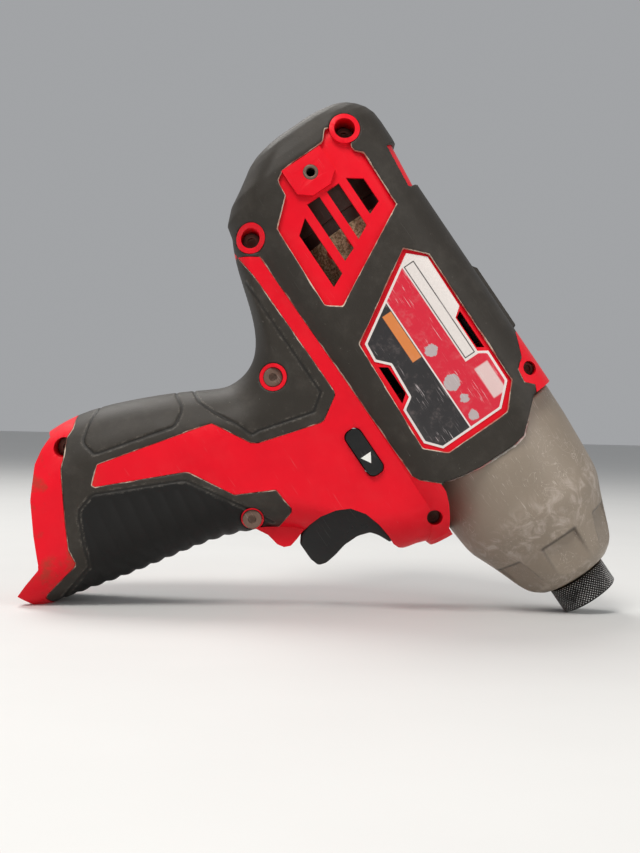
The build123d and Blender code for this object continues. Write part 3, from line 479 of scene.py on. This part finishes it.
def soften(obj, width, segments=2):
    """Joins the CAD faces of a piece and rounds its sharp edges."""
    weld = obj.modifiers.new("join_faces", "WELD")
    weld.merge_threshold = WELD_REACH * MM
    bevel = obj.modifiers.new("round_edges", "BEVEL")
    bevel.width = width * MM
    bevel.segments = segments
    bevel.limit_method = "ANGLE"
    bevel.angle_limit = math.radians(SHARP_ANGLE)
    bevel.harden_normals = False
    bevel.use_clamp_overlap = True
    smooth_shade(obj)
    keep = obj.modifiers.new("even_normals", "WEIGHTED_NORMAL")
    keep.keep_sharp = True


def body_of(node_name):
    """The body that a CAD node is part of."""
    bodies = frame["record"]["behaviour"]["bodies"]
    return next(name for name, nodes in bodies.items() if node_name in nodes)


def copy_of(node_name, piece_name):
    """A free copy of a CAD node's mesh that stands for it."""
    source = frame["nodes"][node_name]
    mesh = source.data.copy()
    obj = bpy.data.objects.new(piece_name, mesh)
    bpy.context.scene.collection.objects.link(obj)
    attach(obj, body_of(node_name))
    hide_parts(node_name)
    return obj


def apply_modifiers(obj):
    """Makes the modified mesh the object's own."""
    graph = bpy.context.evaluated_depsgraph_get()
    mesh = bpy.data.meshes.new_from_object(obj.evaluated_get(graph))
    obj.modifiers.clear()
    obj.data = mesh


def repaint(obj, material):
    """Leaves a mesh with this material alone."""
    obj.data.materials.clear()
    obj.data.materials.append(material)


def remesh(obj, voxel, smoothing, material):
    """Turns a CAD shape into an even skin of small faces with softened edges."""
    skin = obj.modifiers.new("skin", "REMESH")
    skin.mode = "VOXEL"
    skin.voxel_size = voxel * MM
    skin.adaptivity = 0.0
    soft = obj.modifiers.new("soft", "SMOOTH")
    soft.factor = 0.5
    soft.iterations = smoothing
    apply_modifiers(obj)
    smooth_shade(obj)
    repaint(obj, material)


def store(obj, name, values):
    """Keeps one number for each vertex, for the materials to read."""
    layer = obj.data.attributes.new(name, "FLOAT", "POINT")
    layer.data.foreach_set("value", np.asarray(values, np.float32))


# ---- carried-over CAD nodes: each takes its slot's material --------------------------------------
for node_name, obj in frame["nodes"].items():
    repaint(obj, materials[slot_of[node_name]])


# ---- rubber overmolds: finer skins with their pads, grooves and ribs ------------------------------
def grip_axis_point(z):
    """Middle of the handle in X at a height, for telling its outside from its inside."""
    return np.interp(z, [-140, -110, -76, -48, -30], [56, 58, 65, 80, 85])


def outward(tool_points, tool_normals, on_handle):
    """How far each vertex faces away from the middle of the barrel or of the handle."""
    middle = np.zeros_like(tool_points)
    middle[:, 0] = grip_axis_point(tool_points[:, 2]) if on_handle else tool_points[:, 0].clip(20, 200)
    middle[:, 2] = tool_points[:, 2] if on_handle else 0
    away = tool_points - middle
    away /= np.linalg.norm(away, axis=1)[:, None] + 1e-9
    return (away * tool_normals).sum(1)


def groove(distance, half_width, depth):
    """Depth of a rounded groove at a distance from its middle."""
    return depth * np.exp(-(distance / half_width) ** 2 * 1.2)


RUBBER_VOXEL, RIB_PITCH, RIB_DEPTH = 0.42, 4.7, 0.55
RIB_DIRECTION = np.array([-0.16, -0.987])
GROOVE_HALF_WIDTH, GROOVE_DEPTH = 0.33, 0.4


def grip_relief(side_view):
    """How deep the grip is cut at each point, and the places of its grooves, lips and ribs."""
    sunk, grooves, lips = np.zeros((3, len(side_view)))
    for pad in (UPPER_PAD, LOWER_PAD, RIB_PANEL):
        away = line_distance(side_view, pad)
        sunk += groove(away, GROOVE_HALF_WIDTH, GROOVE_DEPTH)
        grooves = np.maximum(grooves, smoothstep(0.5, 0.2, away))
        lips = np.maximum(lips, smoothstep(0.95, 0.7, away) * smoothstep(0.35, 0.6, away))
    within = inside(side_view, RIB_PANEL + RIB_PANEL_FRONT)
    depth_in = np.where(within, line_distance(side_view, RIB_PANEL), 0)
    wave = 0.5 - 0.5 * np.cos(2 * np.pi * (side_view @ RIB_DIRECTION) / RIB_PITCH)
    sunk += RIB_DEPTH * (1 - wave ** 0.6) * smoothstep(0.8, 2.6, depth_in)
    return sunk, grooves, lips, smoothstep(0.0, 0.8, depth_in)


def overmold_skin(node_name, on_handle):
    """The visible skin of one rubber overmold."""
    skin = copy_of(node_name, f"{node_name}_skin")
    remesh(skin, RUBBER_VOXEL, 2, materials["dark_rubber"])
    points = to_tool(coordinates(skin))
    facing = normals(skin) @ AXES.T
    side_view = points[:, [0, 2]]
    out = smoothstep(0.15, 0.6, outward(points, facing, on_handle))
    if on_handle:
        sunk, grooves, lips, panel = grip_relief(side_view)
        seams = [GRIP_SEAM, FOOT_SEAM]
    else:
        sunk, grooves, lips, panel = np.zeros((4, len(points)))
        seams = [VENT_PANEL + VENT_PANEL[:1], LABEL_PANEL + LABEL_PANEL[:1], BODY_SEAM, TOP_RED]
    points -= facing * (sunk * out)[:, None]
    set_coordinates(skin, to_row(points))
    near = np.min([line_distance(side_view, seam) for seam in seams], axis=0)
    store(skin, "seam", np.clip(NEAR - near, 0, NEAR))
    # where the painted shade of the groove bottoms goes
    store(skin, "groove", grooves * out)
    store(skin, "lip", lips * out)
    store(skin, "panel", panel)


for side in ("right", "left"):
    overmold_skin(f"grip_overmold_{side}", True)
    overmold_skin(f"body_overmold_{side}", False)

# ---- housing halves and other mouldings whose edges show -----------------------------------------
for side in ("right", "left"):
    soften(frame["nodes"][f"{side}_housing"], 0.35)

for node_name in ("housing_screws", "belt_clip_inserts", "gear_case_cover", "switch_body",
                  "terminal_block", "motor_end_cap", "retaining_ring"):
    soften(frame["nodes"][node_name], 0.2)

# ---- gear case ---------------------------------------------------------------------------------
CASE_PROFILE = [(100, 24.4), (104, 24.4), (114.2, 24.2), (123.7, 23.6), (130.3, 23.1), (133.5, 22.7),
                (136.5, 21.5), (139.5, 20.1), (147.3, 17.1), (150.1, 16.1), (152, 15.2), (153.9, 13.6)]
CASE_VOXEL, STATION, EASE_REACH, EASE_STATIONS = 0.53, 0.25, 1.8, 16
POCKET_REAR, POCKET_HALF_WIDTH, POCKET_PITCH = 142.0, 5.6, 60


def eased_reach(x, reach):
    """Radius of each point of the case with the corners of its turned profile eased."""
    stations = np.arange(98, 158, STATION)
    profile = np.interp(stations, *zip(*CASE_PROFILE))
    window = np.exp(-(np.arange(-EASE_STATIONS, EASE_STATIONS + 1) * STATION / EASE_REACH) ** 2)
    flowing = np.convolve(np.pad(profile, EASE_STATIONS, "edge"), window / window.sum(), "valid")
    own = np.interp(x, stations, profile)
    on_skin = smoothstep(0.9, 0.3, np.abs(reach - own)) * smoothstep(153.5, 151, x)
    return reach + on_skin * (np.interp(x, stations, flowing) - own)


def pocket_painted_shade(x, reach, bearing):
    """Painted shade for the wrench pockets round the nose: 1 in their inner corners, fading to 0 beside
    them.
    """
    off_middle = np.radians(bearing % POCKET_PITCH - POCKET_PITCH / 2)
    sideways = reach * np.abs(np.sin(off_middle))
    rear_wall = np.hypot(x - POCKET_REAR, np.maximum(sideways - POCKET_HALF_WIDTH, 0))
    side_wall = np.hypot(sideways - POCKET_HALF_WIDTH, np.maximum(POCKET_REAR - x, 0))
    side_painted_shade = smoothstep(0.7, 0.1, side_wall) * smoothstep(153, 145, x) * 0.6
    return np.maximum(smoothstep(0.9, 0.1, rear_wall), side_painted_shade)


def gear_case_casting():
    """The gear case as a casting with a flowing profile."""
    case = copy_of("gear_case", "gear_case_casting")
    remesh(case, CASE_VOXEL, 1, materials["case_aluminium"])
    points = to_tool(coordinates(case))
    x, y, z = points.T
    reach = np.hypot(y, z)
    bearing = np.degrees(np.arctan2(y, z))
    points[:, 1:] *= (eased_reach(x, reach) / np.maximum(reach, 1e-6))[:, None]
    set_coordinates(case, to_row(points))
    to_edge = line_distance(points[:, [0, 2]], FRONT_EDGE)
    store(case, "seam", np.clip(NEAR - to_edge, 0, NEAR))
    # where the case is darkened with painted shade in the pocket corners
    store(case, "painted_pocket_shade", pocket_painted_shade(x, reach, bearing))


gear_case_casting()


def new_piece(name, points, faces, node_name, slot_name):
    """A flat-shaded mesh from tool-frame points that rides on a CAD node's body."""
    mesh = bpy.data.meshes.new(name)
    mesh.from_pydata([tuple(p) for p in to_row(points)], [], [tuple(int(i) for i in f) for f in faces])
    mesh.validate()
    obj = bpy.data.objects.new(name, mesh)
    bpy.context.scene.collection.objects.link(obj)
    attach(obj, body_of(node_name))
    mesh.materials.append(materials[slot_name])
    mesh.polygons.foreach_set("use_smooth", [False] * len(mesh.polygons))
    return obj


# ---- knurled collet sleeve -----------------------------------------------------------------------
SLEEVE_REAR, SLEEVE_FRONT, SLEEVE_RADIUS = 156.4, 164.4, 9.0
SLEEVE_BORE, SLEEVE_NECK, SLEEVE_STEP = 7.85, 6.5, 2.0
RIM_LENGTH, RIM_LOW, RIM_HIGH, BAND_MARGIN = 0.4, 0.6, 0.12, 0.5
KNURLS, STEPS, KNURL_DEPTH = 58, 8, 0.32
PITCH = 2 * math.pi * SLEEVE_RADIUS / KNURLS


def sleeve_rows():
    """The closed half section of the sleeve as (x, radius), with None along the knurled band."""
    first, last = SLEEVE_REAR + BAND_MARGIN, SLEEVE_FRONT - BAND_MARGIN
    count = int((last - first) / PITCH * STEPS)
    inner = [(SLEEVE_FRONT, SLEEVE_BORE), (SLEEVE_REAR + SLEEVE_STEP, SLEEVE_BORE),
             (SLEEVE_REAR + SLEEVE_STEP, SLEEVE_NECK), (SLEEVE_REAR, SLEEVE_NECK)]
    low, high = SLEEVE_RADIUS - RIM_LOW, SLEEVE_RADIUS - RIM_HIGH
    rear_rim = [(SLEEVE_REAR, low), (SLEEVE_REAR + RIM_LENGTH, high)]
    band = [(first + (last - first) * k / count, None) for k in range(count + 1)]
    front_rim = [(SLEEVE_FRONT - RIM_LENGTH, high), (SLEEVE_FRONT, low)]
    return inner + rear_rim + band + front_rim


def diamond_height(x, turn):
    """Height of the diamond knurl, 0 to 1, at one station and all angles round it."""
    across = turn * SLEEVE_RADIUS / PITCH
    along = (x - SLEEVE_REAR - BAND_MARGIN) / PITCH
    ridges = [1 - 2 * np.abs(np.mod(across + hand * along, 1) - 0.5) for hand in (1, -1)]
    return np.minimum(*ridges)


def knurled_collet():
    """The sleeve with its diamond knurl as real relief."""
    columns = KNURLS * STEPS
    turn = np.arange(columns) * 2 * math.pi / columns
    rows = sleeve_rows()
    points, crest = [], []
    for x, radius in rows:
        reach, rubbed = np.full(columns, radius or 0.0), np.zeros(columns)
        if radius is None:
            height = diamond_height(x, turn)
            reach = SLEEVE_RADIUS - KNURL_DEPTH * (1 - np.clip(height * 1.25, 0, 1))
            rubbed = smoothstep(0.45, 0.75, height)
        points.append(np.stack([np.full(columns, x), reach * np.sin(turn), reach * np.cos(turn)], 1))
        crest.append(rubbed)
    faces = []
    for row in range(len(rows)):
        here, there = row * columns, (row + 1) % len(rows) * columns
        for column in range(columns):
            beside = (column + 1) % columns
            faces.append((here + column, there + column, there + beside, here + beside))
    collet = new_piece("knurled_collet", np.concatenate(points), faces, "collet_sleeve", "black_steel")
    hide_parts("collet_sleeve")
    store(collet, "crest", np.concatenate(crest))


knurled_collet()

# ---- rating labels: a fine film laid on the barrel's side ------------------------------------------
LABEL_FACE, LABEL_THICKNESS, FLAT_TOP, FLAT_BOTTOM, CORNER = 24.1, 0.3, 8.6, -14.2, 14.9
LABEL_SPACING, LABEL_GRID = 0.5, ((49.5, -17.5), (101.5, 14))


def film_height(z):
    """Half width of the barrel's side under the label at a height."""
    rise = np.maximum(z - FLAT_TOP, 0) + np.maximum(FLAT_BOTTOM - z, 0)
    return LABEL_FACE - CORNER + np.sqrt(CORNER ** 2 - rise ** 2)


def flat_mesh(outline, spacing):
    """Even triangles that fill a side-view outline, as points and faces."""
    corners = np.array(outline, float)
    ring = []
    for a, b in zip(corners, np.roll(corners, -1, axis=0)):
        count = max(1, int(np.linalg.norm(b - a) / spacing))
        ring += [tuple(a + (b - a) * k / count) for k in range(count)]
    (x_low, z_low), (x_high, z_high) = LABEL_GRID
    grid_x, grid_z = np.meshgrid(np.arange(x_low, x_high, spacing), np.arange(z_low, z_high, spacing))
    grid = np.stack([grid_x.ravel(), grid_z.ravel()], 1)
    deep = inside(grid, outline) & (line_distance(grid, outline, True) > 0.6 * spacing)
    flat = [Vector(p) for p in ring] + [Vector(p) for p in grid[deep]]
    edges = [(k, (k + 1) % len(ring)) for k in range(len(ring))]
    vertices, _, triangles, *_ = delaunay_2d_cdt(flat, edges, [], 1, 1e-5)
    return np.array([tuple(v) for v in vertices]), [tuple(f) for f in triangles]


def sides_of(face):
    """The three directed edges of a triangle."""
    return [(face[k], face[(k + 1) % 3]) for k in range(3)]


def closed_faces(triangles, count):
    """Front triangles, the same as the back, and the quads between them along the open edges."""
    directed = {side for face in triangles for side in sides_of(face)}
    faces = triangles + [tuple(count + i for i in reversed(face)) for face in triangles]
    for face in triangles:
        faces += [(b, a, count + a, count + b) for a, b in sides_of(face) if (b, a) not in directed]
    return faces


def rating_film(side_name, sign):
    """The rating label of one side as a film that follows the barrel."""
    flat_points, triangles = flat_mesh(LABEL, LABEL_SPACING)
    outer = film_height(flat_points[:, 1])
    front = np.stack([flat_points[:, 0], sign * outer, flat_points[:, 1]], 1)
    back = front - (0, sign * LABEL_THICKNESS, 0)
    faces = closed_faces(triangles, len(flat_points))
    if sign > 0:
        faces = [tuple(reversed(f)) for f in faces]
    film = new_piece(f"rating_film_{side_name}", np.concatenate([front, back]), faces,
                     f"rating_label_{side_name}", "label_film")
    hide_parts(f"rating_label_{side_name}")
    rim = np.clip(NEAR - line_distance(flat_points, LABEL, True), 0, NEAR)
    store(film, "rim", np.concatenate([rim, rim]))


rating_film("right", -1)
rating_film("left", 1)

# ---- trigger and direction selector --------------------------------------------------------------
trigger = copy_of("trigger", "trigger_blade")
remesh(trigger, 0.4, 12, materials["black_plastic"])

selector = copy_of("direction_selector", "selector_bar")
soften(selector, 0.8, segments=3)
apply_modifiers(selector)
repaint(selector, materials["black_plastic"])

SELECTOR_END, ARROW_ROOT, ARROW_HEIGHT = 21.4, 0.3, 0.12
ARROW = [(93.4, -32.7), (90.6, -31.0), (90.6, -34.4)]


def direction_arrow(side_name, sign):
    """A small raised wedge that points forward on one end of the selector."""
    inner, outer = sign * (SELECTOR_END - ARROW_ROOT), sign * (SELECTOR_END + ARROW_HEIGHT)
    corners = [(x, inner, z) for x, z in ARROW] + [(x, outer, z) for x, z in ARROW]
    sides = [(0, 1, 4, 3), (1, 2, 5, 4), (2, 0, 3, 5), (0, 2, 1), (3, 4, 5)]
    if sign < 0:
        sides = [tuple(reversed(f)) for f in sides]
    new_piece(f"direction_arrow_{side_name}", corners, sides, "direction_selector", "white_plastic")


direction_arrow("right", -1)
direction_arrow("left", 1)

# ---- camera, lights and stage ---------------------------------------------------------------------
SENSOR, FOCAL_LENGTH = 36.0, 58.62
CAMERA_DISTANCE = 419.6
AIM = (76.5, 0.0, -39.0)
ROLL = 1.32
camera_data = bpy.data.cameras.new("camera")
camera_data.sensor_width = SENSOR
camera_data.lens = FOCAL_LENGTH
camera_data.clip_start = 0.01
camera = bpy.data.objects.new("camera", camera_data)
bpy.context.scene.collection.objects.link(camera)
aim = Vector(to_row([AIM])[0])
camera.location = aim - Vector((0, CAMERA_DISTANCE * MM, 0))
upright = Matrix.Rotation(math.radians(90), 4, "X")
camera.rotation_euler = (Matrix.Rotation(math.radians(-ROLL), 4, "Y") @ upright).to_euler()
bpy.context.scene.camera = camera


def area_light(name, place, size, power, colour):
    """A round soft light that faces the tool."""
    data = bpy.data.lights.new(name, "AREA")
    data.shape = "DISK"
    data.size = size
    data.energy = power
    data.color = colour
    light = bpy.data.objects.new(name, data)
    light.location = place
    light.rotation_euler = (aim - Vector(place)).to_track_quat("-Z", "Y").to_euler()
    bpy.context.scene.collection.objects.link(light)


area_light("key", (-0.25, -0.6, 0.9), 0.45, 8.5, (1.0, 0.97, 0.93))
area_light("fill", (0.75, -0.55, 0.4), 0.6, 2.6, (1.0, 0.98, 0.95))
area_light("rim", (-0.3, 0.45, 0.85), 0.6, 6.0, (1.0, 0.98, 0.95))

world = bpy.data.worlds.new("studio")
world.use_nodes = True
world.node_tree.nodes["Background"].inputs["Color"].default_value = (0.9, 0.92, 0.95, 1)
world.node_tree.nodes["Background"].inputs["Strength"].default_value = 0.4
bpy.context.scene.world = world
bpy.context.scene.view_settings.view_transform = "Standard"

FLOOR = 6.0
floor_mesh = bpy.data.meshes.new("floor")
floor_corners = [(-FLOOR, -FLOOR, 0), (FLOOR, -FLOOR, 0), (FLOOR, FLOOR, 0), (-FLOOR, FLOOR, 0)]
floor_mesh.from_pydata(floor_corners, [], [(0, 1, 2, 3)])
floor = bpy.data.objects.new("floor", floor_mesh)
bpy.context.scene.collection.objects.link(floor)
floor_shader = Shader("pale_floor", 0.7)
floor.data.materials.append(floor_shader.finish(
    floor_shader.mix(floor_shader.noise(0.02), (0.6, 0.6, 0.59), (0.64, 0.64, 0.63))))
